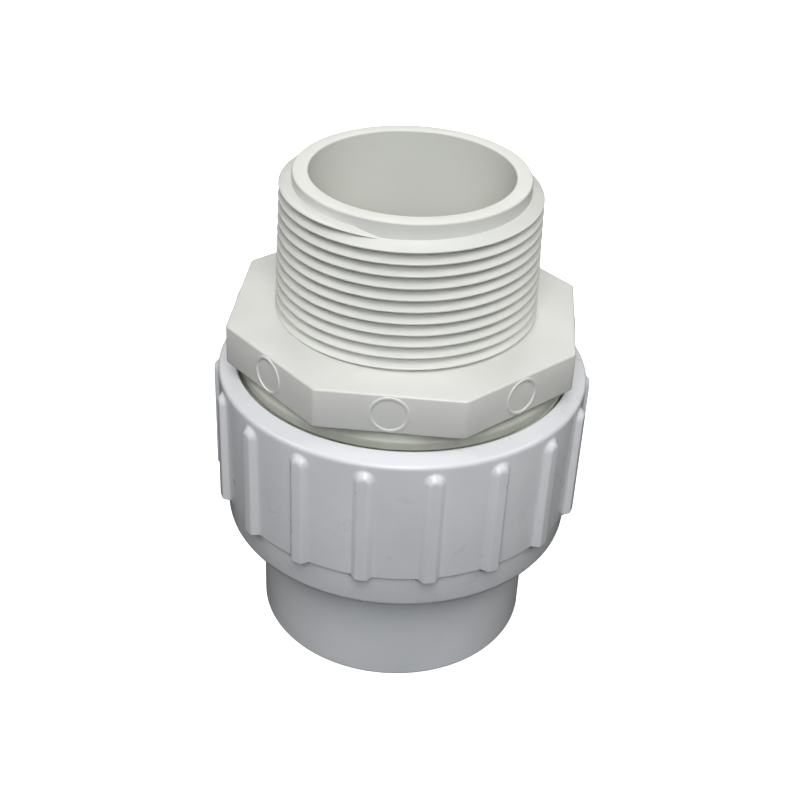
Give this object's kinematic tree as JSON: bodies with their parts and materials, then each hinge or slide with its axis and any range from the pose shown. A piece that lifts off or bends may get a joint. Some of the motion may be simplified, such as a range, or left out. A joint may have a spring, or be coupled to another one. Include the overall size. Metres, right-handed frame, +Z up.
{
  "type": "pipe union",
  "caption": "Plastic pipe union: tapered male pipe thread with octagonal wrench collar above, ribbed union nut in the middle, solvent socket below, O-ring face seal inside.",
  "frame": {"origin": "centre of the foot of the socket half, the face that the union stands on", "axes": "+Z up along the pipe axis, from the socket towards the pipe thread; one flat of the wrench collar looks within a few degrees of -Y"},
  "size_m": [0.0728, 0.0724, 0.0966],
  "materials": {
    "pvc_thread_half": "matte moulded PVC, warm white",
    "pvc_nut": "satin moulded PVC, cool white",
    "pvc_socket_half": "satin moulded PVC, cool white",
    "seal_rubber": "smooth black rubber"
  },
  "bodies": {
    "socket": {"socket_half": "pvc_socket_half"},
    "nut": {"union_nut": "pvc_nut"},
    "thread_end": {"threaded_half": "pvc_thread_half", "o_ring": "seal_rubber"}
  },
  "joints": [
    {"name": "nut_turn", "type": "hinge", "parent": "socket", "child": "nut", "pos_m": [0, 0, 0.042], "axis": [0, 0, -1], "range_deg": [0, 1530]},
    {"name": "half_lift", "type": "slide", "parent": "socket", "child": "thread_end", "axis": [0, 0, 1], "range_m": [0, 0.018]}
  ],
  "couplings": [
    {"joint": "half_lift", "follows": "nut_turn", "m_per_rad": 0.00067376}
  ]
}
